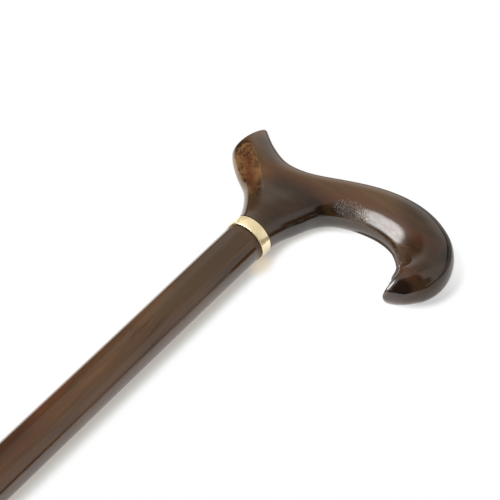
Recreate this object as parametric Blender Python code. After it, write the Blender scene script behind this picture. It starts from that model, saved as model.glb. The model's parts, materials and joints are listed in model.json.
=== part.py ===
"""A derby cane of dark lacquered hardwood, lying on its side as it would on a table.

Six pieces: a carved handle, a brass collar, a tapered shaft, the steel stud inside the joint,
a rubber ferrule and the steel washer inside it. The cane is modelled upright, with its foot at
the origin, x from the shaft to the handle's tail and z up the shaft. An empty then lays it down.
"""

import math
from collections import namedtuple

import bmesh
import bpy
from mathutils import Matrix, Vector
from mathutils.bvhtree import BVHTree

# Clearance between pieces that touch
SEAT_GAP = 0.0003

# Shaft
SHAFT_LENGTH = 0.8450
SHAFT_TOP_RADIUS = 0.0100
SHAFT_TIP_RADIUS = 0.0085
SHAFT_TIP_CHAMFER = 0.0010
SHAFT_SHOULDER_CHAMFER = 0.0004

# Joint of handle and shaft, under the collar
JOINT_SEAT_RADIUS = 0.0097
JOINT_SEAT_CHAMFER = 0.0004
STUD_RADIUS = 0.0040
STUD_LENGTH = 0.0640
STUD_CHAMFER = 0.0008
STUD_HOLE_END_ROOM = 0.0015

# Collar
COLLAR_HEIGHT = 0.0060
COLLAR_WALL = 0.0010
COLLAR_LIP_HEIGHT = 0.0008
COLLAR_LIP_RELIEF = 0.0002

# Ferrule and the washer in it
FOOT_RADIUS = 0.0160
FOOT_EDGE_HEIGHT = 0.0060
FOOT_EDGE_ROUND = 0.0010
FOOT_THICKNESS = 0.0075
TREAD_DEPTH = 0.0012
TREAD_PITCH = 0.0036
TREAD_GROOVE = 0.0014
TREAD_RINGS = 3
SKIRT_HEIGHT = 0.0160
SKIRT_TOP_RADIUS = 0.0118
SLEEVE_RADIUS = 0.0112
FERRULE_HEIGHT = 0.0430
BEAD_RADIUS = 0.0122
BEAD_HEIGHT = 0.0034
WASHER_THICKNESS = 0.0010

# Handle: the neck above the collar
NECK_RADIUS = 0.0109
NECK_EDGE_ROUND = 0.0006

# Handle: templates across the grip, from the nose's blunt end to the tail's bowed cut. Top and
# underside are points of the side view, from the shaft's axis and the joint. The squareness is
# 2 for an oval section, more for one with a flatter top and less for one with a keener top.
Section = namedtuple("Section", "name top_x top_z under_x under_z half_width squareness")
HANDLE_SECTIONS = (
    Section("nose end", -0.0340, 0.0595, -0.0430, 0.0410, 0.0090, 3.6),
    Section("nose", -0.0285, 0.0550, -0.0393, 0.0355, 0.0105, 3.2),
    Section("nose root", -0.0195, 0.0500, -0.0285, 0.0268, 0.0115, 2.8),
    Section("neck front", -0.0100, 0.0465, -0.0213, 0.0234, 0.0120, 2.3),
    Section("neck middle", 0.0024, 0.0472, 0.0010, 0.0264, 0.0125, 2.2),
    Section("neck back", 0.0133, 0.0521, 0.0198, 0.0311, 0.0129, 2.3),
    Section("grip front", 0.0262, 0.0585, 0.0315, 0.0363, 0.0130, 2.1),
    Section("palm", 0.0418, 0.0632, 0.0422, 0.0390, 0.0135, 2.1),
    Section("palm back", 0.0592, 0.0645, 0.0529, 0.0380, 0.0134, 2.1),
    Section("bend top", 0.0751, 0.0596, 0.0604, 0.0344, 0.0130, 2.1),
    Section("bend", 0.0859, 0.0500, 0.0639, 0.0312, 0.0127, 2.0),
    Section("bend foot", 0.0911, 0.0356, 0.0658, 0.0285, 0.0126, 1.8),
    Section("hook", 0.0885, 0.0224, 0.0666, 0.0273, 0.0126, 1.5),
    Section("hook end", 0.0802, 0.0141, 0.0668, 0.0259, 0.0118, 1.4),
    Section("tail end", 0.0707, 0.0099, 0.0675, 0.0247, 0.0102, 1.4),
)
UNDERSIDE_SQUARENESS = 1.85
SECTION_TOP_SWELL = 0.20

# Handle: the flare between neck and grip. The slope raises a ring's tail side.
FlareRing = namedtuple("FlareRing", "height centre_x radius_x radius_y slope")
NECK_FLARE = (
    FlareRing(0.0175, 0.0008, 0.0159, 0.0117, 0.17),
    FlareRing(0.0121, 0.0002, 0.0130, 0.0110, 0.16),
    FlareRing(0.0073, 0.0000, 0.0113, 0.0106, 0.04),
)
NOSE_END_CROWN = 0.0008
TAIL_CUT_CROWN = 0.0003
TAIL_CUT_BOW = 0.0043
END_FACE_SHARE = 0.55
NOSE_CREASE = 0.55
TAIL_TIP_CREASE = 0.55

# Fineness
RING_POINTS = 12
HANDLE_LEVELS = 2
TURNED_STEPS = 48
SMALL_TURNED_STEPS = 32
SHARP_ANGLE = math.radians(40)

# Densities, kilograms per cubic metre, for the centre of mass
WOOD_DENSITY = 700
BRASS_DENSITY = 8500
STEEL_DENSITY = 7850
RUBBER_DENSITY = 1200

# Sizes that follow from the ones above. Heights are above the foot.
SOCKET_FLOOR = FOOT_THICKNESS
WASHER_BASE = SOCKET_FLOOR + SEAT_GAP
SHAFT_TIP = WASHER_BASE + WASHER_THICKNESS + SEAT_GAP
JOINT_HEIGHT = SHAFT_TIP + SHAFT_LENGTH + SEAT_GAP / 2
COLLAR_INNER_RADIUS = JOINT_SEAT_RADIUS + SEAT_GAP
COLLAR_OUTER_RADIUS = COLLAR_INNER_RADIUS + COLLAR_WALL
SEAT_LENGTH = COLLAR_HEIGHT / 2 + SEAT_GAP
STUD_HOLE_RADIUS = STUD_RADIUS + SEAT_GAP
STUD_HOLE_DEPTH = STUD_LENGTH / 2 + STUD_HOLE_END_ROOM
SHAFT_TAPER = (SHAFT_TOP_RADIUS - SHAFT_TIP_RADIUS) / SHAFT_LENGTH
SOCKET_DEPTH = FERRULE_HEIGHT - SHAFT_TIP
SOCKET_RADIUS = SHAFT_TIP_RADIUS + SHAFT_TAPER * SOCKET_DEPTH + SEAT_GAP
WASHER_RADIUS = SOCKET_RADIUS - SEAT_GAP

# A smoothed cage of this many points draws a circle smaller than its points' own
CAGE_SCALE = 3 / (2 + math.cos(math.tau / RING_POINTS))


def clear_scene():
    for obj in list(bpy.data.objects):
        bpy.data.objects.remove(obj, do_unlink=True)


def make_material(name, colour, roughness, metallic=0.0):
    material = bpy.data.materials.new(name)
    material.use_nodes = True
    shader = material.node_tree.nodes["Principled BSDF"]
    shader.inputs["Base Color"].default_value = (*colour, 1.0)
    shader.inputs["Roughness"].default_value = roughness
    shader.inputs["Metallic"].default_value = metallic
    material.diffuse_color = (*colour, 1.0)
    return material


def add_object(name, mesh, material, parent, height):
    """A mesh as an object whose origin lies on the cane's axis, this high above the foot."""
    mesh.materials.append(material)
    mesh.shade_smooth()
    mesh.set_sharp_from_angle(angle=SHARP_ANGLE)
    obj = bpy.data.objects.new(name, mesh)
    bpy.context.scene.collection.objects.link(obj)
    obj.parent = parent
    obj.location = (0, 0, height)
    return obj


def add_empty(name, parent=None, height=0.0):
    empty = bpy.data.objects.new(name, None)
    empty.empty_display_size = 0.02
    bpy.context.scene.collection.objects.link(empty)
    empty.parent = parent
    empty.location = (0, 0, height)
    return empty


def turn(name, profile, steps, closed=False):
    """A turned mesh: the profile's (radius, height) points run down the outer side."""
    shape = bmesh.new()
    points = [shape.verts.new((radius, 0, height)) for radius, height in profile]
    for first, second in zip(points, points[1:]):
        shape.edges.new((first, second))
    if closed:
        shape.edges.new((points[-1], points[0]))
    bmesh.ops.spin(
        shape,
        geom=shape.verts[:] + shape.edges[:],
        cent=(0, 0, 0),
        axis=(0, 0, 1),
        angle=math.tau,
        steps=steps,
        use_merge=True,
    )
    bmesh.ops.remove_doubles(shape, verts=shape.verts, dist=1e-6)
    bmesh.ops.recalc_face_normals(shape, faces=shape.faces)
    mesh = bpy.data.meshes.new(name)
    shape.to_mesh(mesh)
    shape.free()
    return mesh


def quarter_round(centre, radius, start, steps=3):
    """Points of a quarter circle that turns clockwise from the start angle, in degrees."""
    angles = [math.radians(start - 90 * step / steps) for step in range(steps + 1)]
    return [(centre[0] + radius * math.cos(a), centre[1] + radius * math.sin(a)) for a in angles]


def section_ring(section):
    """The cage points of one template, from the middle of its top, round by its +y side."""
    middle = Vector((section.top_x + section.under_x, 0, section.top_z + section.under_z)) / 2
    rise = Vector((section.top_x - section.under_x, 0, section.top_z - section.under_z)) / 2
    points = []
    for number in range(RING_POINTS):
        angle = math.tau * number / RING_POINTS
        up, side = math.cos(angle), math.sin(angle)
        power = 2 / (section.squareness if up > 0 else UNDERSIDE_SQUARENESS)
        swell = 1 + SECTION_TOP_SWELL * up
        up = math.copysign(abs(up) ** power, up) * CAGE_SCALE
        side = math.copysign(abs(side) ** power, side) * CAGE_SCALE
        points.append(middle + rise * up + Vector((0, section.half_width * side * swell, 0)))
    return points


def flare_ring(height, centre_x, radius_x, radius_y, slope):
    """The cage points of a ring round the neck, from its nose side, round by its +y side."""
    points = []
    for number in range(RING_POINTS):
        angle = math.tau * number / RING_POINTS
        along = -radius_x * CAGE_SCALE * math.cos(angle)
        across = radius_y * CAGE_SCALE * math.sin(angle)
        points.append(Vector((centre_x + along, across, height + slope * along)))
    return points


def round_ring(height, radius):
    return flare_ring(height, 0, radius, radius, 0)


def bridge(shape, ring, next_ring):
    for number in range(RING_POINTS):
        after = (number + 1) % RING_POINTS
        shape.faces.new((ring[number], ring[after], next_ring[after], next_ring[number]))


def set_crease(shape, ring, top_amount, under_amount):
    """Creases a ring, from one amount at its top to another at its underside."""
    crease = shape.edges.layers.float["crease_edge"]
    for number, first in enumerate(ring):
        second = ring[(number + 1) % RING_POINTS]
        topness = (1 + math.cos(math.tau * (number + 0.5) / RING_POINTS)) / 2
        amount = under_amount + (top_amount - under_amount) * topness
        shape.edges.get((first, second))[crease] = amount


def close_end(shape, ring, outward, crown, bow=0.0):
    """An end face: a smaller ring and one face across it.

    The crown lifts the face's middle outward, and the bow draws its two sides back.
    """
    middle = sum((point.co for point in ring), Vector()) / len(ring)
    inner = []
    for point in ring:
        place = middle + (point.co - middle) * END_FACE_SHARE + outward * crown
        inner.append(shape.verts.new(place))
    half_width = max(point.co.y for point in ring)
    for point in ring + inner:
        point.co -= outward * bow * (point.co.y / half_width) ** 2
    bridge(shape, ring, inner)
    shape.faces.new(inner)


def end_direction(end, before):
    """The unit normal of an end template, pointing away from the template before it."""
    across = Vector((end.top_x - end.under_x, 0, end.top_z - end.under_z))
    normal = across.cross(Vector((0, 1, 0))).normalized()
    away = Vector((end.top_x - before.top_x, 0, end.top_z - before.top_z))
    return normal if normal.dot(away) > 0 else -normal


def handle_mesh():
    """The handle's cage: a lofted grip with a flared neck drawn out of its underside."""
    shape = bmesh.new()
    shape.edges.layers.float.new("crease_edge")
    rings = [[shape.verts.new(p) for p in section_ring(s)] for s in HANDLE_SECTIONS]
    front = [s.name for s in HANDLE_SECTIONS].index("neck front")
    middle, back = front + 1, front + 2

    # The neck takes the place of four faces of each of two segments of the underside.
    under_first, under_last = RING_POINTS // 3, 2 * RING_POINTS // 3
    for index, (ring, next_ring) in enumerate(zip(rings, rings[1:])):
        for number in range(RING_POINTS):
            if index in (front, middle) and under_first <= number < under_last:
                continue
            after = (number + 1) % RING_POINTS
            shape.faces.new((ring[number], ring[after], next_ring[after], next_ring[number]))
    halfway = RING_POINTS // 2
    mouth = rings[front][halfway : under_first - 1 : -1]
    mouth += [rings[middle][under_first]]
    mouth += rings[back][under_first : under_last + 1]
    mouth += [rings[middle][under_last]]
    mouth += rings[front][under_last:halfway:-1]
    for point in rings[middle][under_first + 1 : under_last]:
        shape.verts.remove(point)

    neck = [flare_ring(*ring) for ring in NECK_FLARE]
    neck.append(round_ring(SEAT_LENGTH + NECK_EDGE_ROUND, NECK_RADIUS))
    neck.append(round_ring(SEAT_LENGTH, NECK_RADIUS - NECK_EDGE_ROUND / 2))
    neck.append(round_ring(SEAT_LENGTH, JOINT_SEAT_RADIUS))
    neck.append(round_ring(SEAT_GAP / 2, JOINT_SEAT_RADIUS))
    neck.append(round_ring(SEAT_GAP / 2, STUD_HOLE_RADIUS))
    neck.append(round_ring(STUD_HOLE_DEPTH, STUD_HOLE_RADIUS))
    above = mouth
    neck_rings = []
    for points in neck:
        below = [shape.verts.new(point) for point in points]
        bridge(shape, above, below)
        neck_rings.append(below)
        above = below
    close_end(shape, above, Vector((0, 0, 1)), 0)
    close_end(shape, rings[0], end_direction(*HANDLE_SECTIONS[:2]), NOSE_END_CROWN)
    tail_direction = end_direction(*HANDLE_SECTIONS[:-3:-1])
    close_end(shape, rings[-1], tail_direction, TAIL_CUT_CROWN, TAIL_CUT_BOW)

    set_crease(shape, rings[0], NOSE_CREASE, NOSE_CREASE)
    set_crease(shape, rings[-1], TAIL_TIP_CREASE, 0)
    for ring in neck_rings[len(NECK_FLARE) + 1 :]:
        set_crease(shape, ring, 1.0, 1.0)
    bmesh.ops.recalc_face_normals(shape, faces=shape.faces)
    mesh = bpy.data.meshes.new("handle")
    shape.to_mesh(mesh)
    shape.free()
    return mesh


def add_handle(parent):
    wood = make_material("handle_wood", (0.075, 0.040, 0.023), 0.18)
    handle = add_object("handle", handle_mesh(), wood, parent, JOINT_HEIGHT)
    smooth = handle.modifiers.new("carved surface", "SUBSURF")
    smooth.levels = HANDLE_LEVELS
    smooth.render_levels = HANDLE_LEVELS
    return handle


def add_collar(parent):
    """A thin band round the joint, with a raised lip at each rim."""
    rim = COLLAR_HEIGHT / 2
    lip_radius = COLLAR_OUTER_RADIUS + COLLAR_LIP_RELIEF
    edge = COLLAR_LIP_HEIGHT / 4
    upper = [
        (COLLAR_INNER_RADIUS, rim),
        (lip_radius - edge, rim),
        (lip_radius, rim - edge),
        (lip_radius, rim - COLLAR_LIP_HEIGHT + edge),
        (COLLAR_OUTER_RADIUS, rim - COLLAR_LIP_HEIGHT),
    ]
    lower = [(radius, -height) for radius, height in reversed(upper)]
    mesh = turn("collar", upper + lower, TURNED_STEPS, closed=True)
    brass = make_material("collar_brass", (0.83, 0.66, 0.40), 0.16, 1.0)
    return add_object("collar", mesh, brass, parent, JOINT_HEIGHT)


def add_shaft(parent):
    """A tapered rod with a turned seat and a blind stud hole at its top."""
    top = SHAFT_LENGTH
    shoulder = top - (SEAT_LENGTH - SEAT_GAP / 2)
    profile = [
        (0, top - STUD_HOLE_DEPTH),
        (STUD_HOLE_RADIUS, top - STUD_HOLE_DEPTH),
        (STUD_HOLE_RADIUS, top),
        (JOINT_SEAT_RADIUS - JOINT_SEAT_CHAMFER, top),
        (JOINT_SEAT_RADIUS, top - JOINT_SEAT_CHAMFER),
        (JOINT_SEAT_RADIUS, shoulder),
        (SHAFT_TOP_RADIUS - SHAFT_SHOULDER_CHAMFER / 2, shoulder),
        (SHAFT_TOP_RADIUS, shoulder - SHAFT_SHOULDER_CHAMFER),
        (SHAFT_TIP_RADIUS + SHAFT_TAPER * SHAFT_TIP_CHAMFER, SHAFT_TIP_CHAMFER),
        (SHAFT_TIP_RADIUS - SHAFT_TIP_CHAMFER, 0),
        (0, 0),
    ]
    mesh = turn("shaft", profile, TURNED_STEPS)
    wood = make_material("shaft_wood", (0.085, 0.042, 0.024), 0.2)
    return add_object("shaft", mesh, wood, parent, SHAFT_TIP)


def add_joint_stud(parent):
    """The steel stud across the joint, half in the shaft and half in the handle."""
    end = STUD_LENGTH / 2
    profile = [
        (0, end),
        (STUD_RADIUS - STUD_CHAMFER, end),
        (STUD_RADIUS, end - STUD_CHAMFER),
        (STUD_RADIUS, -end + STUD_CHAMFER),
        (STUD_RADIUS - STUD_CHAMFER, -end),
        (0, -end),
    ]
    mesh = turn("joint_stud", profile, SMALL_TURNED_STEPS)
    steel = make_material("stud_steel", (0.55, 0.56, 0.58), 0.35, 1.0)
    return add_object("joint_stud", mesh, steel, parent, JOINT_HEIGHT)


def tread_profile():
    """The ringed tread of the foot, from its rim in to the flat disc at its middle."""
    points = []
    groove_outer = FOOT_RADIUS - FOOT_EDGE_ROUND - (TREAD_PITCH - TREAD_GROOVE) / 2
    for ring in range(TREAD_RINGS):
        outer = groove_outer - ring * TREAD_PITCH
        inner = outer - TREAD_GROOVE
        points += [(outer, 0), (outer, TREAD_DEPTH), (inner, TREAD_DEPTH), (inner, 0)]
    return points


def skirt_profile(steps=5):
    """The hollow curve from the sleeve out to the foot's upper edge, a quarter of an ellipse."""
    reach = FOOT_RADIUS - SKIRT_TOP_RADIUS
    drop = SKIRT_HEIGHT - FOOT_EDGE_HEIGHT
    points = []
    for step in range(steps + 1):
        angle = math.pi / 2 * step / steps
        radius = FOOT_RADIUS - reach * math.cos(angle)
        points.append((radius, SKIRT_HEIGHT - drop * math.sin(angle)))
    return points


def add_ferrule(parent):
    """A rubber tip: a socket for the shaft, a bead round its mouth and a flared, ringed foot."""
    bead_round = BEAD_HEIGHT / 2
    bead_centre = (BEAD_RADIUS - bead_round, FERRULE_HEIGHT - bead_round)
    profile = [(0, SOCKET_FLOOR), (SOCKET_RADIUS, SOCKET_FLOOR), (SOCKET_RADIUS, FERRULE_HEIGHT)]
    profile += quarter_round(bead_centre, bead_round, 90)
    profile += quarter_round(bead_centre, bead_round, 0)[1:-1]
    profile.append((SLEEVE_RADIUS, FERRULE_HEIGHT - BEAD_HEIGHT))
    profile += skirt_profile()
    profile += quarter_round(
        (FOOT_RADIUS - FOOT_EDGE_ROUND, FOOT_EDGE_ROUND), FOOT_EDGE_ROUND, 0, steps=2
    )
    profile += tread_profile()
    profile.append((0, 0))
    mesh = turn("ferrule", profile, TURNED_STEPS)
    rubber = make_material("ferrule_rubber", (0.018, 0.018, 0.019), 0.6)
    return add_object("ferrule", mesh, rubber, parent, 0)


def add_ferrule_washer(parent):
    """The steel disc between the socket's floor and the shaft's end."""
    profile = [
        (0, WASHER_THICKNESS),
        (WASHER_RADIUS, WASHER_THICKNESS),
        (WASHER_RADIUS, 0),
        (0, 0),
    ]
    mesh = turn("ferrule_washer", profile, SMALL_TURNED_STEPS)
    steel = make_material("washer_steel", (0.60, 0.61, 0.62), 0.3, 1.0)
    return add_object("ferrule_washer", mesh, steel, parent, WASHER_BASE)


def world_points(obj):
    """The object's finished points and triangles, in world space."""
    evaluated = obj.evaluated_get(bpy.context.evaluated_depsgraph_get())
    mesh = evaluated.to_mesh()
    mesh.calc_loop_triangles()
    points = [evaluated.matrix_world @ vertex.co for vertex in mesh.vertices]
    triangles = [tuple(triangle.vertices) for triangle in mesh.loop_triangles]
    evaluated.to_mesh_clear()
    return points, triangles


def centre_of_mass(weighted_objects):
    total = 0.0
    moment = Vector()
    for obj, density in weighted_objects:
        points, triangles = world_points(obj)
        for a, b, c in triangles:
            mass = density * points[a].dot(points[b].cross(points[c])) / 6
            total += mass
            moment += mass * (points[a] + points[b] + points[c]) / 4
    return moment / total


def resting_rotation(weighted_objects):
    """The turn that lays the upright cane on its +y side, tail towards -y of the world.

    It rests on the face of its convex hull that lies under its centre of mass.
    """
    hull = bmesh.new()
    for obj, _ in weighted_objects:
        for point in world_points(obj)[0]:
            hull.verts.new(point)
    result = bmesh.ops.convex_hull(hull, input=hull.verts, use_existing_faces=False)
    inner = [item for item in result["geom_interior"] if isinstance(item, bmesh.types.BMVert)]
    bmesh.ops.delete(hull, geom=inner, context="VERTS")
    tree = BVHTree.FromBMesh(hull)
    centre = centre_of_mass(weighted_objects)
    _, normal, _, _ = tree.ray_cast(centre, Vector((0, 1, 0)))
    hull.free()
    down = normal if normal.y > 0 else -normal
    along = (Vector((0, 0, 1)) - down * down.z).normalized()
    across = down.cross(along)
    return Matrix((along, -across, -down))


def lay_down(cane, weighted_objects):
    """Lays the cane on the ground plane with the middle of its bounding box over the origin."""
    bpy.context.view_layer.update()
    rotation = resting_rotation(weighted_objects)
    cane.rotation_euler = rotation.to_euler()
    bpy.context.view_layer.update()
    points = [point for obj, _ in weighted_objects for point in world_points(obj)[0]]
    low = Vector(min(point[axis] for point in points) for axis in range(3))
    high = Vector(max(point[axis] for point in points) for axis in range(3))
    cane.location = (-(low.x + high.x) / 2, -(low.y + high.y) / 2, -low.z)
    bpy.context.view_layer.update()


def main():
    clear_scene()
    cane = add_empty("cane")
    ferrule_slide = add_empty("ferrule_slide", cane)
    weighted_objects = [
        (add_handle(cane), WOOD_DENSITY),
        (add_collar(cane), BRASS_DENSITY),
        (add_shaft(cane), WOOD_DENSITY),
        (add_joint_stud(cane), STEEL_DENSITY),
        (add_ferrule(ferrule_slide), RUBBER_DENSITY),
        (add_ferrule_washer(ferrule_slide), STEEL_DENSITY),
    ]
    lay_down(cane, weighted_objects)


main()
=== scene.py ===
"""Looks for a derby cane of dark lacquered wood that lies on a pale studio floor.

The turned pieces are shaped upright, with the foot at the origin and the shaft along z, and are
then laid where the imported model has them. Lengths are metres.
"""

import json
import math
from collections import namedtuple

import bpy
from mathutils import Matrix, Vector


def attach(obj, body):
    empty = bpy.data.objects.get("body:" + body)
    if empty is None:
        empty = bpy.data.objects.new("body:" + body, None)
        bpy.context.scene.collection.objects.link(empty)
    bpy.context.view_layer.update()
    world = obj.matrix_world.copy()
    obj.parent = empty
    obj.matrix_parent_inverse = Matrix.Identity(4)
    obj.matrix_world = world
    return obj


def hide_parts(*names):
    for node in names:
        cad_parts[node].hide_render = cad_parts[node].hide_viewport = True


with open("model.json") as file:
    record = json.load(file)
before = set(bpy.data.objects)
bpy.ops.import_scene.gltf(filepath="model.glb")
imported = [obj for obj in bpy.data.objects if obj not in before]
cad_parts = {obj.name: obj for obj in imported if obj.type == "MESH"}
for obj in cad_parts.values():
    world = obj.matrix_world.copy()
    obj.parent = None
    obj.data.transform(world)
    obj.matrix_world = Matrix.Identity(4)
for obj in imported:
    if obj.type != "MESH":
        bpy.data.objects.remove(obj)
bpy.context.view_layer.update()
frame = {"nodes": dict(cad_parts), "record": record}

# The cane's place: its foot, and the shaft's direction from foot to handle
TREAD = frame["record"]["mounts"][0]
FOOT = Vector(TREAD["pos_m"])
SHAFT_DIRECTION = -Vector(TREAD["axis"]).normalized()

# The cane's own side, front and height, in the laid-down place
CANE_ROLL = math.radians(1.60)
CANE_SIDE = Vector((0, -math.cos(CANE_ROLL), math.sin(CANE_ROLL)))
CANE_AXES = (CANE_SIDE, CANE_SIDE.cross(SHAFT_DIRECTION), SHAFT_DIRECTION)

# The nose leans this far from the cane's side towards its height
NOSE_TILT = math.radians(47.4)

# Heights above the foot
JOINT_HEIGHT = 0.85425
TIP_HEIGHT = 0.0091

# Shaft. Each swell starts at one height above the foot and is full at another.
STUD_HOLE_RADIUS = 0.0043
STUD_HOLE_DEPTH = 0.0335
JOINT_GAP = 0.00015
SEAT_RADIUS = 0.0097
SEAT_HEIGHT = 0.00315
SEAT_CHAMFER = 0.0004
SHAFT_TOP_RADIUS = 0.0100
SHAFT_TIP_RADIUS = 0.0085
TIP_CHAMFER = 0.0010
SHOULDER_RADIUS = 0.0104
SHOULDER_EDGE_WIDTH = 0.0003
SHOULDER_EDGE_HEIGHT = 0.0004
SHAFT_STEPS = 48
Swell = namedtuple("Swell", "growth start full")
SHAFT_SWELLS = (Swell(0.0002, 0.10, 0.45), Swell(0.0002, 0.77, 0.83))

# Collar
COLLAR_INSIDE = 0.0100
COLLAR_OUTSIDE = 0.0110
COLLAR_HALF_HEIGHT = 0.0030
LIP_RADIUS = 0.01107
LIP_CHAMFER = 0.0002
LIP_HEIGHT = 0.0005
LIP_FOOT = 0.0007
COLLAR_EDGE_ROUND = 0.00006

# Handle. Places are (side, front, height) in the cane's own axes, from the joint.
MERGE_DISTANCE = 0.00001
QUAD_FACE_ANGLE = math.radians(60)
QUAD_SHAPE_ANGLE = math.radians(120)
CREASE_ANGLE = math.radians(45)
HANDLE_EDGE_ROUND = 0.0006
HANDLE_EDGE_ANGLE = math.radians(38)
CARVED_ABOVE = 0.006
NECK_HEIGHT = 0.013
NECK_HALF_LENGTH = 0.009
NECK_CORE = 0.009
NOTCH_CENTRE = (0.0635, 0.0035, 0.0315)
NOTCH_RADIUS = 0.0065

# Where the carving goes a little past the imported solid's smoothed surface
Nudge = namedtuple("Nudge", "centre reach falloff move")
TAIL_NUDGE = Nudge((0.0740, 0.0000, 0.0125), 0.0050, 0.0110, (-0.00010, 0, -0.00140))
CORNER_NUDGE = Nudge((0.0650, 0.0010, 0.0300), 0.0030, 0.0070, (0.00040, 0, -0.00080))
BEND_NUDGE = Nudge((0.0840, 0.0070, 0.0470), 0.0050, 0.0110, (0.00005, 0, 0.00030))
NOSE_NUDGE = Nudge((-0.0350, 0.0090, 0.0560), 0.0035, 0.0100, (-0.00005, 0, 0.00035))

# Fineness
SHAFT_SIDES = 128
COLLAR_SIDES = 192
SMOOTH_LEVELS = 2
SHARP_ANGLE = math.radians(35)
EDGE_ANGLE = math.radians(30)

# Camera, in the photograph's place. Angles are degrees, and lens and sensor are millimetres.
CAMERA_PLACE = (0.094987, -0.202066, 0.450928)
CAMERA_ANGLES = (40.0233, -1.1271, -51.8656)
CAMERA_LENS = 86.4
CAMERA_SENSOR = 36

# Lamp. Angles are degrees.
LAMP_AZIMUTH = 105
LAMP_ELEVATION = 57
LAMP_DISTANCE = 2.2
LAMP_SIZE = 1.5
LAMP_POWER = 46
LAMP_TARGET = Vector((0.40, 0, 0))


# Shading helpers


def set_inputs(tree, node, inputs):
    """Links each of a node's inputs to a socket, or sets it to a value."""
    for key, value in inputs.items():
        if isinstance(value, bpy.types.NodeSocket):
            tree.links.new(value, node.inputs[key])
        else:
            node.inputs[key].default_value = value


def add_node(tree, kind, inputs=None, **settings):
    node = tree.nodes.new(kind)
    for key, value in settings.items():
        setattr(node, key, value)
    set_inputs(tree, node, inputs or {})
    return node


def calculate(tree, operation, first, second=0.0, third=0.0):
    inputs = {0: first, 1: second, 2: third}
    return add_node(tree, "ShaderNodeMath", inputs, operation=operation).outputs[0]


def product(tree, first, *others):
    for other in others:
        first = calculate(tree, "MULTIPLY", first, other)
    return first


def most(tree, first, *others):
    for other in others:
        first = calculate(tree, "MAXIMUM", first, other)
    return first


def weighted_sum(tree, *terms):
    """The sum of each value times its weight, from (value, weight) pairs."""
    total = 0.0
    for value, weight in terms:
        total = calculate(tree, "MULTIPLY_ADD", value, weight, total)
    return total


def mix_colours(tree, share, first, second):
    inputs = {0: share, 6: first, 7: second}
    return add_node(tree, "ShaderNodeMix", inputs, data_type="RGBA").outputs[2]


def remap(tree, value, low, high, new_low=0.0, new_high=1.0, smooth=True):
    """The value carried from one range to another, held at the ends."""
    kind = "SMOOTHSTEP" if smooth else "LINEAR"
    inputs = {0: value, 1: low, 2: high, 3: new_low, 4: new_high}
    return add_node(tree, "ShaderNodeMapRange", inputs, interpolation_type=kind).outputs[0]


def noise(tree, vector, scale=1.0, detail=3.0, roughness=0.5, distortion=0.0):
    inputs = {
        "Vector": vector,
        "Scale": scale,
        "Detail": detail,
        "Roughness": roughness,
        "Distortion": distortion,
    }
    return add_node(tree, "ShaderNodeTexNoise", inputs).outputs["Fac"]


def mapped(tree, vector, scale=(1, 1, 1), location=(0, 0, 0), rotation=(0, 0, 0)):
    """The vector scaled, then turned, then moved."""
    inputs = {"Vector": vector, "Scale": scale, "Location": location, "Rotation": rotation}
    return add_node(tree, "ShaderNodeMapping", inputs).outputs[0]


def add_vectors(tree, first, second):
    inputs = {0: first, 1: second}
    return add_node(tree, "ShaderNodeVectorMath", inputs, operation="ADD").outputs[0]


def join(tree, first, second, third):
    inputs = {0: first, 1: second, 2: third}
    return add_node(tree, "ShaderNodeCombineXYZ", inputs).outputs[0]


def split(tree, vector):
    return add_node(tree, "ShaderNodeSeparateXYZ", {0: vector}).outputs


def ramp(tree, value, stops):
    """A colour ramp through (place, colour) stops."""
    node = add_node(tree, "ShaderNodeValToRGB", {0: value})
    elements = node.color_ramp.elements
    while len(elements) < len(stops):
        elements.new(0.5)
    for element, (place, colour) in zip(elements, stops):
        element.position = place
        element.color = (*colour, 1)
    return node.outputs[0]


def object_place(tree):
    return add_node(tree, "ShaderNodeTexCoord").outputs["Object"]


def new_material(name):
    """A material, its node tree and its shader."""
    material = bpy.data.materials.new(name)
    material.use_nodes = True
    tree = material.node_tree
    return material, tree, tree.nodes["Principled BSDF"]


def new_group(name, inputs, outputs):
    """A node group with (name, kind) inputs and outputs, and the sockets at its two ends."""
    group = bpy.data.node_groups.new(name, "ShaderNodeTree")
    for label, kind in inputs:
        group.interface.new_socket(label, in_out="INPUT", socket_type=kind)
    for label, kind in outputs:
        group.interface.new_socket(label, in_out="OUTPUT", socket_type=kind)
    start = group.nodes.new("NodeGroupInput").outputs
    end = group.nodes.new("NodeGroupOutput").inputs
    return group, start, end


def use_group(tree, group, inputs):
    node = tree.nodes.new("ShaderNodeGroup")
    node.node_tree = group
    set_inputs(tree, node, inputs)
    return node.outputs


# An oval, or with a higher power a rounded box. None is a direction in which it has no end.
Spot = namedtuple("Spot", "name centre half_sizes softness share power", defaults=(1.0, 2.0))


def spot_mask(tree, place, spot):
    """The spot's share inside it and 0 outside it, from a node that is labelled with its name."""
    total = 0.0
    for part, middle, half in zip(split(tree, place), spot.centre, spot.half_sizes):
        if half is None:
            continue
        away = calculate(tree, "ABSOLUTE", calculate(tree, "SUBTRACT", part, middle))
        away = calculate(tree, "POWER", calculate(tree, "DIVIDE", away, half), spot.power)
        total = calculate(tree, "ADD", away, total)
    distance = calculate(tree, "POWER", total, 1 / spot.power)
    mask = remap(tree, distance, 1 + spot.softness, 1 - spot.softness, 0.0, spot.share)
    mask.node.label = spot.name
    return mask


# Wood

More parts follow.
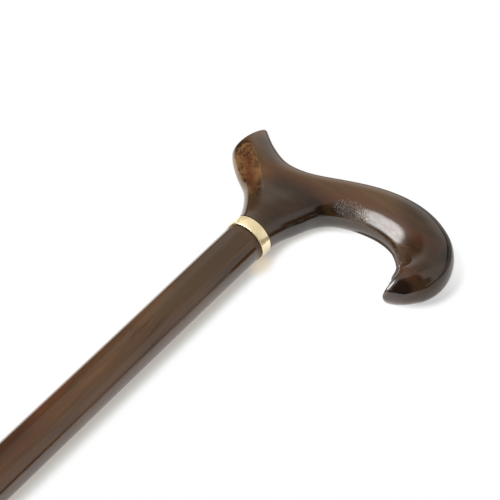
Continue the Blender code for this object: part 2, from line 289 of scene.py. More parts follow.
HANDLE_STAIN = {
    "Dark": (0.052, 0.026, 0.012, 1),
    "Middle": (0.084, 0.043, 0.019, 1),
    "Light": (0.118, 0.064, 0.029, 1),
    "Blush": (0.125, 0.044, 0.022, 1),
    "Olive": (0.064, 0.042, 0.016, 1),
}
SHAFT_STAIN = {
    "Dark": (0.062, 0.029, 0.012, 1),
    "Middle": (0.110, 0.053, 0.022, 1),
    "Light": (0.155, 0.076, 0.030, 1),
    "Blush": (0.140, 0.050, 0.024, 1),
    "Olive": (0.092, 0.055, 0.024, 1),
}
BLACK = (0, 0, 0, 1)
# Painted shade on the handle
PAINTED_SHADE_COLOUR = (0.014, 0.007, 0.003, 1)
# Painted shade on the shaft, and in the seam at the collar
PAINTED_SHAFT_SHADE = (0.035, 0.018, 0.009, 1)
PAINTED_SEAM_SHADE = (0.008, 0.004, 0.002, 1)
# Painted light on the handle's top
PAINTED_LIGHT_COLOUR = (0.185, 0.098, 0.042, 1)

# The painted reflection on the nose, a golden streak, from its dark flecks to its light ones
PAINTED_STREAK_FLECKS = (
    (0.40, (0.040, 0.016, 0.007)),
    (0.50, (0.125, 0.058, 0.021)),
    (0.64, (0.260, 0.125, 0.046)),
)
# Colours of the painted reflection: its core, foot and halo, its pale rim of painted highlight, and
# its dark rim
STREAK_CORE_COLOUR = (0.115, 0.032, 0.012, 1)
STREAK_FOOT_COLOUR = (0.040, 0.026, 0.012, 1)
STREAK_HALO_COLOUR = (0.200, 0.105, 0.042, 1)
STREAK_PALE_RIM = (0.300, 0.190, 0.100, 1)
STREAK_DARK_RIM = (0.020, 0.010, 0.005, 1)

# How far the streak's outline wanders, from one side to the other
STREAK_WANDER = 0.004

# Parts of the streak of painted reflection. Places are from the joint, with x across the nose and z
# along it.
STREAK = Spot("streak", (0.0070, 0, 0.0375), (0.0042, None, 0.0200), 0.10, power=3.0)
FLANK = Spot("widening", (0.0030, 0, 0.0470), (0.0045, None, 0.0110), 0.40, power=3.0)
CORE = Spot("red core", (0.0064, 0, 0.0370), (0.0021, None, 0.0120), 0.70, 0.72)
HALO = Spot("halo", (0.0085, 0, 0.0340), (0.0075, None, 0.0240), 0.50, 0.48)
# Painted highlight along one rim of the streak
PAINTED_RIM_HIGHLIGHT = Spot("worn rim", (0.0004, 0, 0.0400), (0.0015, None, 0.0140), 0.60, 0.75)

# Other spots of the handle. Places are (side, front, height) from the joint.
# Painted light: the handle's top is lighter where light falls on it
PAINTED_LIGHT_TOP = Spot("worn top", (0.0190, 0, 0.0580), (0.0330, None, 0.0190), 0.40, 0.40, 4.0)
HELD = Spot("polished palm", (0.0555, 0.0080, 0.0400), (0.0185, 0.0060, 0.0080), 0.30)
POINT = Spot("tail's point", (0.0740, 0.0060, 0.0150), (0.0100, 0.0060, 0.0070), 0.35, 0.90)
DULL_CORNER = Spot("inner corner", (0.0655, 0.0050, 0.0305), (0.0065, 0.0080, 0.0075), 0.60, 0.30)
# Painted shade: the handle is darker at its neck and throat, under the palm, at its tail, round its
# bend, on its crown and on the nose's side
PAINTED_SHADE_SPOTS = (
    Spot("neck", (0.0100, 0, 0.0215), (0.0260, None, 0.0150), 0.35, 0.66),
    Spot("throat", (0.0165, 0, 0.0300), (0.0070, None, 0.0050), 0.60, 0.80),
    Spot("under the palm", (0.0270, 0.0068, 0.0370), (0.0065, 0.0030, 0.0060), 0.60, 0.60),
    Spot("tail", (0.0775, 0.0066, 0.0138), (0.0082, 0.0045, 0.0045), 0.35, 0.90),
    Spot("outer bend", (0.0860, 0, 0.0460), (0.0200, None, 0.0220), 0.50, 0.50),
    Spot("bend's edge", (0.0840, 0, 0.0460), (0.0032, None, 0.0110), 0.50, 0.92),
    Spot("crown", (0.0620, 0, 0.0570), (0.0120, None, 0.0100), 0.60, 0.60),
    Spot("nose's side", (-0.0210, 0, 0.0455), (0.0110, None, 0.0100), 0.60, 0.38),
    # The palm's entry darkens the wood under its polish coat, to offset the coat's extra reflection
    Spot("palm", HELD.centre, HELD.half_sizes, HELD.softness, 0.22),
)

# Beads of lacquer in the palm, in a patch turned to follow the grip
BEADS_PLACE = (-0.0325, -0.0072, 0)
BEADS_TURN = math.radians(9)
BEADS = Spot("beads", (0, 0, 0), (0.0080, 0.0028, None), 0.45)

# Lacquer
LACQUER_IOR = 1.45
LACQUER_RELIEF = 0.00006
LACQUER_DARKENING = 0.05
POLISH_ROUGHNESS = 0.06


def make_cane_place_group():
    """Object place turned into the upright cane's own: side, front and height above the foot."""
    group, start, end = new_group(
        "cane_place", [("Vector", "NodeSocketVector")], [("Vector", "NodeSocketVector")]
    )
    from_foot = add_vectors(group, start["Vector"], tuple(-FOOT))
    shares = []
    for axis in CANE_AXES:
        inputs = {0: from_foot, 1: tuple(axis)}
        dot = add_node(group, "ShaderNodeVectorMath", inputs, operation="DOT_PRODUCT")
        shares.append(dot.outputs["Value"])
    group.links.new(join(group, *shares), end["Vector"])
    return group


def make_stained_wood_group():
    """Stained hardwood, whose grain runs along the vector's x."""
    group, start, end = new_group(
        "stained_wood",
        [("Vector", "NodeSocketVector")] + [(name, "NodeSocketColor") for name in HANDLE_STAIN],
        [
            ("Color", "NodeSocketColor"),
            ("Fibre", "NodeSocketFloat"),
            ("Pores", "NodeSocketFloat"),
        ],
    )
    vector = start["Vector"]
    drift = noise(group, mapped(group, vector, (12, 30, 30)), detail=2.0)
    drift = product(group, calculate(group, "SUBTRACT", drift, 0.5), 0.010)
    bent = add_vectors(group, vector, join(group, 0.0, drift, drift))

    bands = noise(group, mapped(group, bent, (9, 260, 260)), roughness=0.55)
    fibre = noise(group, mapped(group, bent, (45, 1500, 1500)), roughness=0.6)
    clouds = noise(group, mapped(group, vector, (18, 55, 55)), detail=2.0)
    tint = noise(group, mapped(group, vector, (14, 70, 70), location=(7, 3, 5)), detail=2.0)
    dashes = noise(group, mapped(group, bent, (260, 2600, 2600)), detail=1.0)

    tone = weighted_sum(group, (fibre, 0.30), (bands, 0.35), (clouds, 0.40))
    colour = mix_colours(group, remap(group, tone, 0.40, 0.51), start["Dark"], start["Middle"])
    colour = mix_colours(group, remap(group, tone, 0.51, 0.64), colour, start["Light"])
    colour = mix_colours(group, remap(group, tint, 0.53, 0.68, 0, 0.65), colour, start["Blush"])
    colour = mix_colours(group, remap(group, tint, 0.48, 0.34, 0, 0.75), colour, start["Olive"])
    pores = remap(group, dashes, 0.66, 0.78)
    colour = mix_colours(group, product(group, pores, 0.5), colour, start["Dark"])
    group.links.new(colour, end["Color"])
    group.links.new(fibre, end["Fibre"])
    group.links.new(pores, end["Pores"])
    return group


def make_lacquer_group():
    """Brushed lacquer: a height for its ripple and beads, and a roughness with rubbed marks."""
    group, start, end = new_group(
        "lacquer",
        [
            ("Vector", "NodeSocketVector"),
            ("Fibre", "NodeSocketFloat"),
            ("Pores", "NodeSocketFloat"),
            ("Beads", "NodeSocketFloat"),
        ],
        [("Height", "NodeSocketFloat"), ("Roughness", "NodeSocketFloat")],
    )
    vector = start["Vector"]
    ripple = noise(group, vector, scale=260.0, detail=1.0)
    beads = remap(group, noise(group, vector, scale=1500.0, detail=1.0), 0.45, 0.64)
    beads = product(group, beads, start["Beads"])
    rubs = noise(group, mapped(group, vector, (700, 90, 700)), roughness=0.6)
    height = weighted_sum(
        group, (ripple, 0.4), (start["Fibre"], 0.06), (start["Pores"], -0.06), (beads, 3.8)
    )
    group.links.new(height, end["Height"])
    group.links.new(remap(group, rubs, 0.35, 0.75, 0.045, 0.085), end["Roughness"])
    return group


def finish_wood(tree, shader, place, colour, wood, beads, dull):
    """Lacquer over a wood colour, with beads and with dull places."""
    inputs = {"Vector": place, "Fibre": wood["Fibre"], "Pores": wood["Pores"], "Beads": beads}
    finish = use_group(tree, LACQUER, inputs)
    inputs = {"Height": finish["Height"], "Distance": LACQUER_RELIEF}
    bump = add_node(tree, "ShaderNodeBump", inputs)
    colour = mix_colours(tree, LACQUER_DARKENING, colour, BLACK)
    tree.links.new(colour, shader.inputs["Base Color"])
    roughness = calculate(tree, "ADD", finish["Roughness"], dull)
    tree.links.new(roughness, shader.inputs["Roughness"])
    tree.links.new(bump.outputs[0], shader.inputs["Normal"])
    shader.inputs["IOR"].default_value = LACQUER_IOR


def add_streak(tree, joint, colour):
    """The golden streak of painted reflection down the nose, with its halo and rims, over a wood
    colour.
    """
    nose = mapped(tree, joint, rotation=(0, NOSE_TILT, 0))
    parts = split(tree, nose)
    across, along = parts[0], parts[2]
    wander = noise(tree, nose, scale=220.0, roughness=0.6)
    wander = product(tree, calculate(tree, "SUBTRACT", wander, 0.5), STREAK_WANDER)
    bent = add_vectors(tree, nose, join(tree, wander, wander, wander))

    flecks = noise(tree, nose, scale=420.0, roughness=0.6, distortion=0.9)
    blotches = noise(tree, nose, scale=190.0, detail=2.0, distortion=0.6)
    gold = ramp(tree, weighted_sum(tree, (blotches, 0.45), (flecks, 0.65)), PAINTED_STREAK_FLECKS)
    gold = mix_colours(tree, spot_mask(tree, bent, CORE), gold, STREAK_CORE_COLOUR)
    foot = remap(tree, along, 0.027, 0.017, 0.0, 0.5)
    gold = mix_colours(tree, foot, gold, STREAK_FOOT_COLOUR)

    streak = most(tree, spot_mask(tree, bent, STREAK), spot_mask(tree, bent, FLANK))
    # The pale rims are painted highlights, and the streak's top has a dark rim
    rim = product(tree, streak, calculate(tree, "SUBTRACT", 1.0, streak))
    pale = product(tree, rim, remap(tree, across, 0.0085, 0.0105, 0.0, 2.2))
    pale = most(tree, pale, spot_mask(tree, bent, PAINTED_RIM_HIGHLIGHT))
    dark = product(tree, rim, remap(tree, along, 0.050, 0.055, 0.0, 3.4))
    colour = mix_colours(tree, spot_mask(tree, bent, HALO), colour, STREAK_HALO_COLOUR)
    colour = mix_colours(tree, streak, colour, gold)
    colour = mix_colours(tree, pale, colour, STREAK_PALE_RIM)
    return mix_colours(tree, dark, colour, STREAK_DARK_RIM)


def make_handle_wood():
    """Stained wood with a golden streak of painted reflection on the nose, painted light on its top
    and painted shade in its darker places, and a polished palm with beads of lacquer.
    """
    material, tree, shader = new_material("handle_wood")
    place = object_place(tree)
    cane = use_group(tree, CANE_PLACE, {"Vector": place})["Vector"]
    joint = mapped(tree, cane, location=(0, 0, -JOINT_HEIGHT))
    wood = use_group(tree, STAINED_WOOD, {"Vector": cane, **HANDLE_STAIN})

    colour = add_streak(tree, joint, wood["Color"])
    # Painted light on the handle's top
    colour = mix_colours(tree, spot_mask(tree, joint, PAINTED_LIGHT_TOP), colour, PAINTED_LIGHT_COLOUR)
    # Painted shade over the handle's darker places
    painted_shade = most(tree, *[spot_mask(tree, joint, spot) for spot in PAINTED_SHADE_SPOTS])
    colour = mix_colours(tree, painted_shade, colour, PAINTED_SHADE_COLOUR)

    held = spot_mask(tree, joint, HELD)
    rubbed = noise(tree, mapped(tree, place, (420, 160, 420)), roughness=0.6)
    rubbed = product(tree, remap(tree, rubbed, 0.40, 0.62), held)
    polished = weighted_sum(tree, (held, 0.30), (rubbed, 0.26))
    polished = most(tree, polished, spot_mask(tree, joint, POINT))
    tree.links.new(polished, shader.inputs["Coat Weight"])
    shader.inputs["Coat Roughness"].default_value = POLISH_ROUGHNESS

    palm = mapped(tree, joint, location=BEADS_PLACE)
    palm = mapped(tree, palm, rotation=(0, 0, BEADS_TURN))
    beads = spot_mask(tree, palm, BEADS)
    dull = spot_mask(tree, joint, DULL_CORNER)
    finish_wood(tree, shader, place, colour, wood, beads, dull)
    return material


def make_shaft_wood():
    """Stained wood, with painted shade making it darker near the handle, far down and in the seam
    at the collar.
    """
    material, tree, shader = new_material("shaft_wood")
    place = object_place(tree)
    wood = use_group(tree, STAINED_WOOD, {"Vector": place, **SHAFT_STAIN})
    parts = split(tree, place)
    along, across = parts[0], parts[1]
    # Painted shade near the handle, most on the shaft's side towards +y, and far down on that side
    # only
    near_handle = remap(tree, along, 0.318, 0.372, 0.0, 0.42)
    near_handle = product(tree, near_handle, remap(tree, across, 0.0185, 0.0245, 0.4, 1.0))
    far_down = remap(tree, along, 0.264, 0.242, 0.0, 0.60)
    far_down = product(tree, far_down, remap(tree, across, 0.0180, 0.0245))
    # Painted shade in the seam at the collar
    seam = remap(tree, along, 0.3906, 0.3920, 0.0, 0.8)
    colour = mix_colours(tree, near_handle, wood["Color"], PAINTED_SHAFT_SHADE)
    colour = mix_colours(tree, far_down, colour, PAINTED_SHAFT_SHADE)
    colour = mix_colours(tree, seam, colour, PAINTED_SEAM_SHADE)
    dull = remap(tree, along, 0.3875, 0.3905, 0.0, 0.5)
    finish_wood(tree, shader, place, colour, wood, 0.0, dull)
    return material


# Metal and rubber

BRASS_COLOUR = (1.0, 0.81, 0.46)
STEEL_COLOUR = (0.55, 0.56, 0.58)
METAL_SHADE = 0.84
METAL_STROKES = (350, 1300, 1300)
METAL_RELIEF = 0.00002
RUBBER_TONES = ((0.35, (0.014, 0.014, 0.015)), (0.75, (0.030, 0.029, 0.028)))
RUBBER_RELIEF = 0.00006


def make_metal(name, colour, roughness, turning_lines, metallic=1.0, ior=1.5):
    """Metal with fine lines and strokes, which darken it and change its roughness."""
    material, tree, shader = new_material(name)
    place = object_place(tree)
    lines = noise(tree, mapped(tree, place, turning_lines), detail=2.0, roughness=0.6)
    strokes = noise(tree, mapped(tree, place, METAL_STROKES), detail=2.0)
    lines = weighted_sum(tree, (lines, 0.5), (strokes, 0.5))
    clouds = noise(tree, place, scale=300.0, detail=2.0)
    tone = weighted_sum(tree, (clouds, 0.10), (remap(tree, lines, 0.40, 0.60), 0.50))
    darker = tuple(METAL_SHADE * part for part in colour)
    shade = mix_colours(tree, tone, (*colour, 1), (*darker, 1))
    tree.links.new(shade, shader.inputs["Base Color"])
    rough = remap(tree, lines, 0.3, 0.7, roughness * 0.8, roughness * 1.3)
    tree.links.new(rough, shader.inputs["Roughness"])
    shader.inputs["Metallic"].default_value = metallic
    shader.inputs["IOR"].default_value = ior
    bump = add_node(tree, "ShaderNodeBump", {"Height": lines, "Distance": METAL_RELIEF})
    tree.links.new(bump.outputs[0], shader.inputs["Normal"])
    return material


def make_brass():
    """Gold-tone brass under a clear finish, which the shader has as only partly metallic."""
    return make_metal("polished_brass", BRASS_COLOUR, 0.09, (2500, 40, 40), metallic=0.27, ior=2.0)


def make_steel():
    return make_metal("plain_steel", STEEL_COLOUR, 0.3, (2000, 60, 60))


def make_rubber():
    """Black moulded rubber: a fine grain, dusty in its hollows."""
    material, tree, shader = new_material("moulded_rubber")
    place = object_place(tree)
    grain = noise(tree, place, scale=2400.0, roughness=0.6)
    dust = noise(tree, place, scale=130.0, detail=4.0, roughness=0.6)
    tree.links.new(ramp(tree, dust, RUBBER_TONES), shader.inputs["Base Color"])
    tree.links.new(remap(tree, dust, 0.3, 0.7, 0.52, 0.72), shader.inputs["Roughness"])
    bump = add_node(tree, "ShaderNodeBump", {"Height": grain, "Distance": RUBBER_RELIEF})
    tree.links.new(bump.outputs[0], shader.inputs["Normal"])
    return material


# Modelling helpers


def deselect_all():
    if bpy.context.object and bpy.context.object.mode != "OBJECT":
        bpy.ops.object.mode_set(mode="OBJECT")
    bpy.ops.object.select_all(action="DESELECT")


def make_active(piece):
    deselect_all()
    piece.select_set(True)
    bpy.context.view_layer.objects.active = piece


def turned(name, profile, sides, hollow=False):
    """A turned piece, drawn out ring by ring along the profile's (radius, height) points.

    A hollow one joins its last ring to its first, and any other is closed by two discs.
    """
    deselect_all()
    radius, height = profile[0]
    bpy.ops.mesh.primitive_circle_add(vertices=sides, radius=radius)
    piece = bpy.context.object
    piece.name = name
    bpy.ops.object.mode_set(mode="EDIT")
    bpy.ops.mesh.select_mode(type="EDGE")
    bpy.ops.mesh.select_all(action="SELECT")
    bpy.ops.transform.translate(value=(0, 0, height))
    for next_radius, next_height in profile[1:]:
        bpy.ops.mesh.extrude_region_move(
            TRANSFORM_OT_translate={"value": (0, 0, next_height - height)}
        )
        growth = next_radius / radius
        bpy.ops.transform.resize(value=(growth, growth, 1), center_override=(0, 0, next_height))
        radius, height = next_radius, next_height
    bpy.ops.mesh.select_all(action="DESELECT")
    bpy.ops.mesh.select_non_manifold()
    if hollow:
        bpy.ops.mesh.bridge_edge_loops()
    else:
        bpy.ops.mesh.fill_holes(sides=0)
    bpy.ops.mesh.select_all(action="SELECT")
    bpy.ops.mesh.normals_make_consistent(inside=False)
    bpy.ops.object.mode_set(mode="OBJECT")
    return piece


def soften_edges(piece, width, segments=3, angle=EDGE_ANGLE):
    """Rounds every edge that is sharper than the angle."""
    make_active(piece)
    bevel = piece.modifiers.new("soft edges", "BEVEL")
    bevel.width = width
    bevel.segments = segments
    bevel.limit_method = "ANGLE"
    bevel.angle_limit = angle
    bpy.ops.object.modifier_apply(modifier=bevel.name)


def lay_in_place(piece):
    """Takes an upright piece to where the lying cane has it."""
    make_active(piece)
    piece.rotation_euler = SHAFT_DIRECTION.to_track_quat("Z", "Y").to_euler()
    piece.location = FOOT
    bpy.ops.object.transform_apply(location=True, rotation=True, scale=True)


def finish_piece(piece, material, body, node):
    """Smooth shading, a material, and the CAD node that the piece stands for."""
    make_active(piece)
    bpy.ops.object.shade_smooth_by_angle(angle=SHARP_ANGLE)
    piece.data.materials.clear()
    piece.data.materials.append(material)
    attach(piece, body)
    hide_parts(node)


def pick_vertices(piece, is_picked):
    """Opens the piece in edit mode with only the vertices that pass the test selected."""
    make_active(piece)
    bpy.ops.object.mode_set(mode="EDIT")
    bpy.ops.mesh.select_mode(type="VERT")
    bpy.ops.mesh.select_all(action="DESELECT")
    bpy.ops.object.mode_set(mode="OBJECT")
    for vertex in piece.data.vertices:
        vertex.select = is_picked(vertex.co)
    bpy.ops.object.mode_set(mode="EDIT")


def even_out(piece, is_picked, repeats):
    """Rubs the ripple out of a part of the carving."""
    pick_vertices(piece, is_picked)
    bpy.ops.mesh.vertices_smooth(factor=0.5, repeat=repeats)
    bpy.ops.object.mode_set(mode="OBJECT")


# Handle


def cane_direction(shares):
    """A (side, front, height) step in the cane's own axes, as the lying cane has it."""
    return sum((axis * share for axis, share in zip(CANE_AXES, shares)), Vector())


def handle_point(place):
    """The lying cane's point at a (side, front, height) place from the joint."""
    return FOOT + SHAFT_DIRECTION * JOINT_HEIGHT + cane_direction(place)


def is_carved(point):
    return (point - FOOT).dot(SHAFT_DIRECTION) > JOINT_HEIGHT + CARVED_ABOVE


def is_in_neck(point):
    """Whether a point is in the flare between the round joint and the carved neck."""
    away = point - handle_point((0, 0, NECK_HEIGHT))
    along = away.dot(SHAFT_DIRECTION)
    from_axis = (away - along * SHAFT_DIRECTION).length
    return abs(along) < NECK_HALF_LENGTH and from_axis > NECK_CORE


def is_in_notch(point):
    """Whether a point is in the inner corner between grip and tail."""
    return (point - handle_point(NOTCH_CENTRE)).length < NOTCH_RADIUS


def push(piece, spot):
    """Pushes one spot of the handle, and less and less of what is round it."""
    middle = handle_point(spot.centre)
    pick_vertices(piece, lambda point: (point - middle).length < spot.reach)
    bpy.ops.transform.translate(
        value=cane_direction(spot.move),
        use_proportional_edit=True,
        proportional_edit_falloff="SMOOTH",
        proportional_size=spot.falloff,
    )
    bpy.ops.object.mode_set(mode="OBJECT")


def join_up(piece):
    """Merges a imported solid's loose triangles into quads, and creases its sharp edges."""
    make_active(piece)
    bpy.ops.object.mode_set(mode="EDIT")
    bpy.ops.mesh.select_all(action="SELECT")
    bpy.ops.mesh.remove_doubles(threshold=MERGE_DISTANCE)
    bpy.ops.mesh.tris_convert_to_quads(
        face_threshold=QUAD_FACE_ANGLE, shape_threshold=QUAD_SHAPE_ANGLE
    )
    bpy.ops.mesh.select_mode(type="EDGE")
    bpy.ops.mesh.select_all(action="DESELECT")
    bpy.ops.mesh.edges_select_sharp(sharpness=CREASE_ANGLE)
    bpy.ops.transform.edge_crease(value=1.0)
    bpy.ops.mesh.select_all(action="SELECT")
    bpy.ops.mesh.customdata_custom_splitnormals_clear()
    bpy.ops.object.mode_set(mode="OBJECT")


def make_handle():
    """The carved handle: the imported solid, joined up, smoothed and carved a little further."""
    deselect_all()
    piece = bpy.data.objects.new("carved_handle", frame["nodes"]["handle"].data.copy())
    bpy.context.scene.collection.objects.link(piece)
    join_up(piece)
    smooth = piece.modifiers.new("smooth surface", "SUBSURF")
    smooth.levels = SMOOTH_LEVELS
    smooth.render_levels = SMOOTH_LEVELS
    bpy.ops.object.modifier_apply(modifier=smooth.name)
    even_out(piece, is_carved, repeats=6)
    even_out(piece, is_in_neck, repeats=40)
    even_out(piece, is_in_notch, repeats=60)
    for spot in (TAIL_NUDGE, CORNER_NUDGE, BEND_NUDGE, NOSE_NUDGE):
        push(piece, spot)
    soften_edges(piece, HANDLE_EDGE_ROUND, segments=4, angle=HANDLE_EDGE_ANGLE)
    finish_piece(piece, HANDLE_WOOD, "cane", "handle")


# Turned pieces


def shaft_swell(height):
    """How much the shaft is thicker than its straight taper at a height."""
    growth = 0.0
    for swell in SHAFT_SWELLS:
        share = (height - swell.start) / (swell.full - swell.start)
        growth += swell.growth * min(1, max(0, share))
    return growth


def make_shaft():
    """The tapered shaft, from the stud's hole in its top to its chamfered tip."""
    top = JOINT_HEIGHT - JOINT_GAP
    shoulder = top - SEAT_HEIGHT
    taper_top = shoulder - SHOULDER_EDGE_HEIGHT
    taper_foot = TIP_HEIGHT + TIP_CHAMFER
    profile = [
        (STUD_HOLE_RADIUS, top - STUD_HOLE_DEPTH),
        (STUD_HOLE_RADIUS, top),
        (SEAT_RADIUS - SEAT_CHAMFER, top),
        (SEAT_RADIUS, top - SEAT_CHAMFER),
        (SEAT_RADIUS, shoulder),
        (SHOULDER_RADIUS - SHOULDER_EDGE_WIDTH, shoulder),
        (SHOULDER_RADIUS, taper_top),
    ]
    for step in range(1, SHAFT_STEPS):
        share = step / SHAFT_STEPS
        height = taper_top - share * (taper_top - taper_foot)
        radius = SHAFT_TOP_RADIUS - share * (SHAFT_TOP_RADIUS - SHAFT_TIP_RADIUS)
        profile.append((radius + shaft_swell(height), height))
    profile.append((SHAFT_TIP_RADIUS, taper_foot))
    profile.append((SHAFT_TIP_RADIUS - TIP_CHAMFER, TIP_HEIGHT))
    piece = turned("tapered_shaft", profile, SHAFT_SIDES)
    lay_in_place(piece)
    finish_piece(piece, SHAFT_WOOD, "cane", "shaft")


def make_collar():
    """The brass band, with a rolled lip at each rim."""
    upper_half = [
        (COLLAR_INSIDE, COLLAR_HALF_HEIGHT),
        (LIP_RADIUS - LIP_CHAMFER, COLLAR_HALF_HEIGHT),
        (LIP_RADIUS, COLLAR_HALF_HEIGHT - LIP_CHAMFER),
        (LIP_RADIUS, COLLAR_HALF_HEIGHT - LIP_HEIGHT),
        (COLLAR_OUTSIDE, COLLAR_HALF_HEIGHT - LIP_FOOT),
    ]
    lower_half = [(radius, -height) for radius, height in reversed(upper_half)]
    profile = [(radius, height + JOINT_HEIGHT) for radius, height in upper_half + lower_half]
    piece = turned("brass_collar", profile, COLLAR_SIDES, hollow=True)
    soften_edges(piece, COLLAR_EDGE_ROUND)
    lay_in_place(piece)
    finish_piece(piece, BRASS, "cane", "collar")


# Floor. Places are world x, along the cane, and world y, across it.

FLOOR_RADIUS = 12
FLOOR_SIDES = 96
FLOOR_GREY = 0.80

# The floor is lit most from the foot's side, so its shadow is taken from there
LIT_FROM = (-0.82, 0.08, 0.57)
SHADOW_REACH = 0.03
SHADOW_POWER = 1.9
SHADOW_TONES = (
    (0.0, (0.450, 0.410, 0.370)),
    (0.18, (0.530, 0.524, 0.492)),
    (1.0, (1.0, 1.0, 1.0)),
)
LIGHTER_SHADOW = (
    Spot("between neck and tail", (0.440, 0.0, 0), (0.034, 0.034, None), 0.30, 0.055),
    Spot("round the bend", (0.450, -0.045, 0), (0.032, 0.034, None), 0.25, 0.10),
)
CAST_SHADOW = Spot("beside the hook", (0.440, -0.043, 0), (0.0250, 0.0247, None), 0.09)
CAST_SHADOW_COLOUR = (0.02, 0.01, 0.0, 1)
BRASS_GLOW = Spot("by the collar", (0.3945, 0.0140, 0), (0.0060, 0.0040, None), 0.70, 0.60)
BRASS_GLOW_COLOUR = (0.80, 0.66, 0.48, 1)

# Painted shade on the floor that the hook hides, which only the lacquer's reflections show
UNDER_HOOK = (
    Spot("under the palm", (0.4306, -0.0282, 0), (0.0060, 0.0108, None), 0.25),
    Spot("between palm and tail", (0.4350, -0.0195, 0), (0.0044, 0.0092, None), 0.25),
)

# The way from the cane to the side from which it is looked at
NEAR_SIDE = (-0.819, -0.574)


def floor_shade(tree, place, openness):
    """The floor as the camera sees it: white, with the cane's shadow and the collar's warm glow."""
    parts = split(tree, place)
    along, across = parts[0], parts[1]
    for spot in LIGHTER_SHADOW:
        openness = calculate(tree, "ADD", openness, spot_mask(tree, place, spot))
    openness = remap(tree, openness, 0.53, 0.675, smooth=False)
    openness = calculate(tree, "POWER", openness, SHADOW_POWER)
    behind = product(
        tree, remap(tree, along, 0.430, 0.445), remap(tree, across, -0.055, -0.030)
    )
    shade = ramp(tree, most(tree, openness, behind), SHADOW_TONES)
    cast = product(
        tree,
        spot_mask(tree, place, CAST_SHADOW),
        remap(tree, across, -0.0445, -0.0500),
        remap(tree, along, 0.426, 0.458, 0.42, 0.10),
    )
    shade = mix_colours(tree, cast, shade, CAST_SHADOW_COLOUR)
    return mix_colours(tree, spot_mask(tree, place, BRASS_GLOW), shade, BRASS_GLOW_COLOUR)


def mirrored_floor(tree, place, openness, is_mirrored):
    """What lacquer and brass see: a matt colour and a glow, dimmed far off and under the hook."""
    parts = split(tree, place)
    along, across = parts[0], parts[1]
    glow = product(
        tree,
        remap(tree, across, 0.02, -0.02, 0.75, 1.3),
        remap(tree, openness, 0.30, 0.69, 0.45, 1.0),
        remap(tree, across, -0.045, -0.072, 1.0, 0.25),
        remap(tree, along, 0.400, 0.360, 1.0, 1.12),
    )
    beyond = remap(tree, along, 0.484, 0.500)
    far_side = remap(tree, across, 0.085, 0.150)
    nearness = weighted_sum(tree, (across, NEAR_SIDE[1]), (along, NEAR_SIDE[0]))
    near = product(
        tree, remap(tree, nearness, -0.20, -0.17), remap(tree, across, -0.07, -0.10)
    )
    # Painted shade under the hook, seen only in reflections
    hidden = most(tree, *[spot_mask(tree, place, spot) for spot in UNDER_HOOK])
    colour = (FLOOR_GREY, FLOOR_GREY, FLOOR_GREY, 1)

    # Each dim place's mask, its grey, and the share of the glow that it keeps
    dim_places = (
        (beyond, 0.40, 0.15),
        (far_side, 0.08, 0.0),
        (near, 0.03, 0.0),
        (hidden, 0.10, 0.1),
    )
    for mask, grey, kept in dim_places:
        glow = product(tree, glow, remap(tree, mask, 0.0, 1.0, 1.0, kept, smooth=False))
        dark = product(tree, mask, is_mirrored)
        colour = mix_colours(tree, dark, colour, (grey, grey, grey, 1))
    return colour, product(tree, glow, is_mirrored)


def make_floor_material():
    """White with a soft shadow to the camera, pale grey to light, and lit to what mirrors it."""
    material, tree, shader = new_material("pale_floor")
    tree.nodes.remove(shader)
    path = add_node(tree, "ShaderNodeLightPath").outputs
    place = object_place(tree)
    inputs = {"Distance": SHADOW_REACH, "Normal": join(tree, *LIT_FROM)}
    openness = add_node(tree, "ShaderNodeAmbientOcclusion", inputs, samples=48).outputs["AO"]
    colour, glow = mirrored_floor(tree, place, openness, path["Is Glossy Ray"])
    shade = floor_shade(tree, place, openness)

    matt = add_node(tree, "ShaderNodeBsdfDiffuse", {"Color": colour})
    glow = add_node(tree, "ShaderNodeEmission", {"Strength": glow})
    both = add_node(tree, "ShaderNodeAddShader", {0: matt.outputs[0], 1: glow.outputs[0]})
    seen = add_node(tree, "ShaderNodeEmission", {"Color": shade})
    inputs = {0: path["Is Camera Ray"], 1: both.outputs[0], 2: seen.outputs[0]}
    last = add_node(tree, "ShaderNodeMixShader", inputs)
    tree.links.new(last.outputs[0], tree.nodes["Material Output"].inputs["Surface"])
    return material


def make_floor():
    deselect_all()
    bpy.ops.mesh.primitive_circle_add(
        vertices=FLOOR_SIDES, radius=FLOOR_RADIUS, fill_type="NGON"
    )
    floor = bpy.context.object
    floor.name = "studio_floor"
    floor.data.materials.append(make_floor_material())


# Studio

# What glossy surfaces see round the cane, laid over one another in this order. Places and half
# sizes are degrees of azimuth and elevation.
Panel = namedtuple("Panel", "name azimuth elevation half_width half_height softness power colour")
PANELS = (
    Panel("wall before the cane", -85, 22, 34, 26, 0.50, 2.0, (1.25, 1.22, 1.20)),
    Panel("wall past the handle", 22, 14, 26, 24, 0.60, 2.0, (1.40, 1.37, 1.33)),
    Panel("unlit wall past the nose", 84, 16, 24, 38, 0.35, 3.0, (0.16, 0.12, 0.10)),
    Panel("unlit side of the camera", -132, 20, 29, 28, 0.22, 4.0, (0.06, 0.05, 0.05)),
    Panel("low gap before the cane", -99, 12, 14, 9, 0.50, 3.0, (0.12, 0.11, 0.10)),
    Panel("gap at the table's end", -16, 0, 26, 8, 0.45, 4.0, (0.10, 0.10, 0.09)),
    Panel("softbox's dim end", 184, 38, 14, 12, 0.50, 2.5, (2.4, 2.4, 2.4)),
    Panel("softbox's surround", 150, 38, 38, 16, 0.80, 2.5, (1.2, 1.2, 1.2)),
    Panel("softbox", 147.5, 25, 33.5, 19, 0.20, 4.0, (10.0, 9.92, 9.85)),
    Panel("softbox's middle", 136, 25, 13, 11, 0.80, 2.5, (11.1, 11.0, 10.9)),
)
TENT_WALL = (0.90, 0.89, 0.87, 1)
TENT_ROOF = (0.68, 0.66, 0.64, 1)
WHITE = (1, 1, 1, 1)
SOFT_DIM = (0.17, 0.17, 0.17, 1)
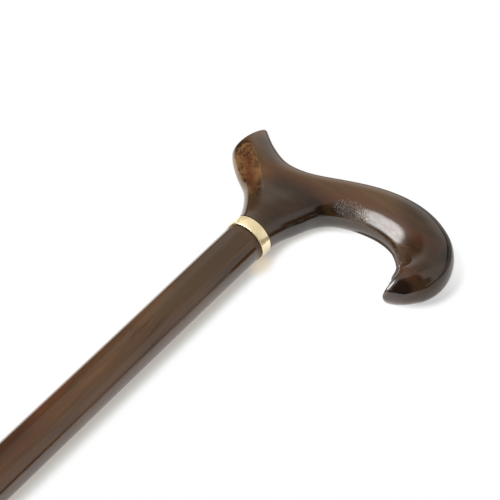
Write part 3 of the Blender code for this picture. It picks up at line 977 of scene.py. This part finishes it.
SOFT_BRIGHT = (0.82, 0.82, 0.82, 1)
SOFT_WALL_AZIMUTH = -80.0


def panel_mask(tree, panel, azimuth, elevation):
    turn = calculate(tree, "SUBTRACT", azimuth, panel.azimuth)
    turn = calculate(tree, "WRAP", turn, 180, -180)
    rise = calculate(tree, "SUBTRACT", elevation, panel.elevation)
    flat = join(tree, turn, rise, 0.0)
    sizes = (panel.half_width, panel.half_height, None)
    spot = Spot(panel.name, (0, 0, 0), sizes, panel.softness, power=panel.power)
    return spot_mask(tree, flat, spot)


def make_world():
    """White to the camera, a soft dome to matt surfaces, and a white tent to glossy ones."""
    world = bpy.data.worlds.new("studio")
    bpy.context.scene.world = world
    world.use_nodes = True
    tree = world.node_tree
    direction = add_node(tree, "ShaderNodeTexCoord").outputs["Generated"]
    parts = split(tree, direction)
    azimuth = product(tree, calculate(tree, "ARCTAN2", parts[1], parts[0]), math.degrees(1))
    elevation = product(tree, calculate(tree, "ARCSINE", parts[2]), math.degrees(1))

    tent = mix_colours(tree, remap(tree, elevation, 30, 60), TENT_WALL, TENT_ROOF)
    for panel in PANELS:
        mask = panel_mask(tree, panel, azimuth, elevation)
        tent = mix_colours(tree, mask, tent, (*panel.colour, 1))

    turn = calculate(tree, "SUBTRACT", azimuth, SOFT_WALL_AZIMUTH)
    wall = calculate(tree, "COSINE", calculate(tree, "RADIANS", turn))
    wall = product(tree, remap(tree, wall, 0.2, 0.9), remap(tree, elevation, 60, 30))
    soft = mix_colours(tree, wall, SOFT_DIM, SOFT_BRIGHT)

    path = add_node(tree, "ShaderNodeLightPath").outputs
    colour = mix_colours(tree, path["Is Glossy Ray"], soft, tent)
    colour = mix_colours(tree, path["Is Camera Ray"], colour, WHITE)
    tree.links.new(colour, tree.nodes["Background"].inputs["Color"])


def make_lamp():
    """A large square lamp that nothing mirrors."""
    light = bpy.data.lights.new("key_light", "AREA")
    light.shape = "SQUARE"
    light.size = LAMP_SIZE
    light.energy = LAMP_POWER
    lamp = bpy.data.objects.new("key_light", light)
    bpy.context.scene.collection.objects.link(lamp)
    azimuth, elevation = math.radians(LAMP_AZIMUTH), math.radians(LAMP_ELEVATION)
    level = math.cos(elevation)
    facing = Vector((level * math.cos(azimuth), level * math.sin(azimuth), math.sin(elevation)))
    lamp.location = LAMP_TARGET + facing * LAMP_DISTANCE
    lamp.rotation_euler = facing.to_track_quat("Z", "Y").to_euler()
    lamp.visible_camera = False
    lamp.visible_glossy = False


def make_camera():
    data = bpy.data.cameras.new("photo_camera")
    data.lens = CAMERA_LENS
    data.sensor_width = CAMERA_SENSOR
    camera = bpy.data.objects.new("photo_camera", data)
    bpy.context.scene.collection.objects.link(camera)
    camera.location = CAMERA_PLACE
    camera.rotation_euler = [math.radians(angle) for angle in CAMERA_ANGLES]
    bpy.context.scene.camera = camera


# Scene

make_camera()
make_world()
make_lamp()
STAINED_WOOD = make_stained_wood_group()
LACQUER = make_lacquer_group()
CANE_PLACE = make_cane_place_group()
HANDLE_WOOD = make_handle_wood()
SHAFT_WOOD = make_shaft_wood()
BRASS = make_brass()
STEEL = make_steel()
RUBBER = make_rubber()

make_floor()
make_handle()
make_shaft()
make_collar()
for name, material in (("joint_stud", STEEL), ("ferrule_washer", STEEL), ("ferrule", RUBBER)):
    node = frame["nodes"][name]
    node.data.materials.clear()
    node.data.materials.append(material)

scene = bpy.context.scene
scene.view_settings.view_transform = "Standard"
